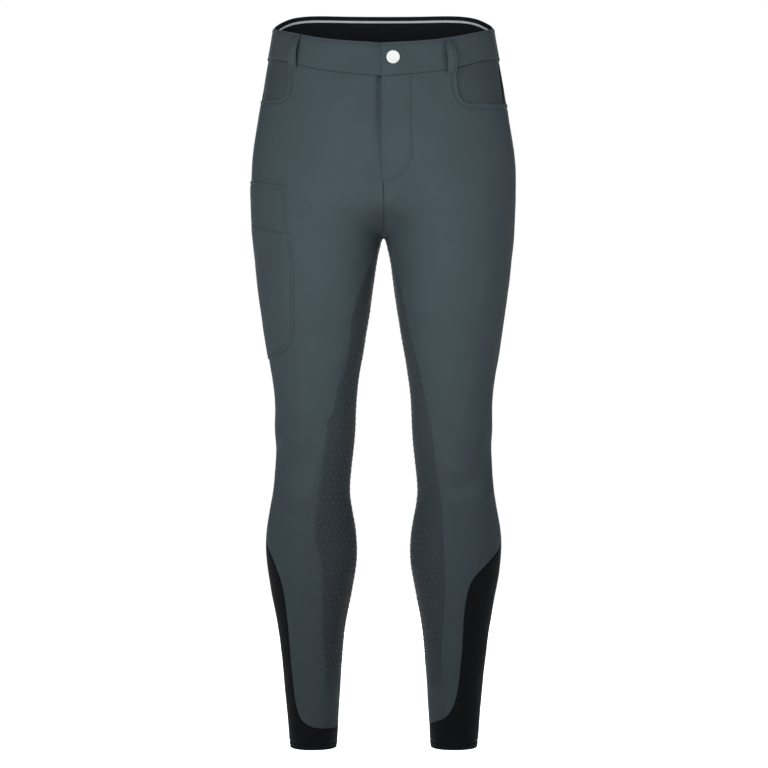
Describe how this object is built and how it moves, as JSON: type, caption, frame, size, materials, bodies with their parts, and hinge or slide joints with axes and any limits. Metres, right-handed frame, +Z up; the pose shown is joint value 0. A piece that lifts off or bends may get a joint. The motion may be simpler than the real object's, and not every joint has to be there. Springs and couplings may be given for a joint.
{
  "type": "riding breeches",
  "caption": "Close-fitting riding breeches, filled out, with a dipped waistband, hand pockets, a thigh pocket, a grip seat and stretch cuffs.",
  "frame": {"origin": "middle of the waist opening, level with the top edge of the waistband at the side seams", "axes": "+Z up along the body, +X towards the wearer's left, the front of the garment faces -Y"},
  "size_m": [0.367, 0.2562, 1.0232],
  "materials": {
    "stretch_cloth": "smooth knit, matt",
    "grip_cloth": "smooth knit with small silicone grip dots",
    "facing_cloth": "matt",
    "black_stretch": "fine elastic knit, matt",
    "black_lining": "matt",
    "white_gloss": "glossy"
  },
  "bodies": {
    "root": {"front_left": "stretch_cloth", "front_right": "stretch_cloth", "back_left": "stretch_cloth", "back_right": "stretch_cloth", "lower_back_left": "stretch_cloth", "lower_back_right": "stretch_cloth", "seat_grip_left": "grip_cloth", "seat_grip_right": "grip_cloth", "leg_grip_left": "grip_cloth", "leg_grip_right": "grip_cloth", "cuff_left": "black_stretch", "cuff_right": "black_stretch", "pocket_facing_left": "facing_cloth", "pocket_facing_right": "facing_cloth", "phone_pocket_top": "stretch_cloth", "phone_pocket_pouch": "stretch_cloth", "waistband_left": "stretch_cloth", "waistband_right": "stretch_cloth", "waistband_lining": "black_lining", "belt_loop_front_left": "stretch_cloth", "belt_loop_front_right": "stretch_cloth", "belt_loop_side_left": "stretch_cloth", "belt_loop_side_right": "stretch_cloth", "belt_loop_back": "stretch_cloth", "waist_button": "white_gloss"}
  },
  "joints": []
}
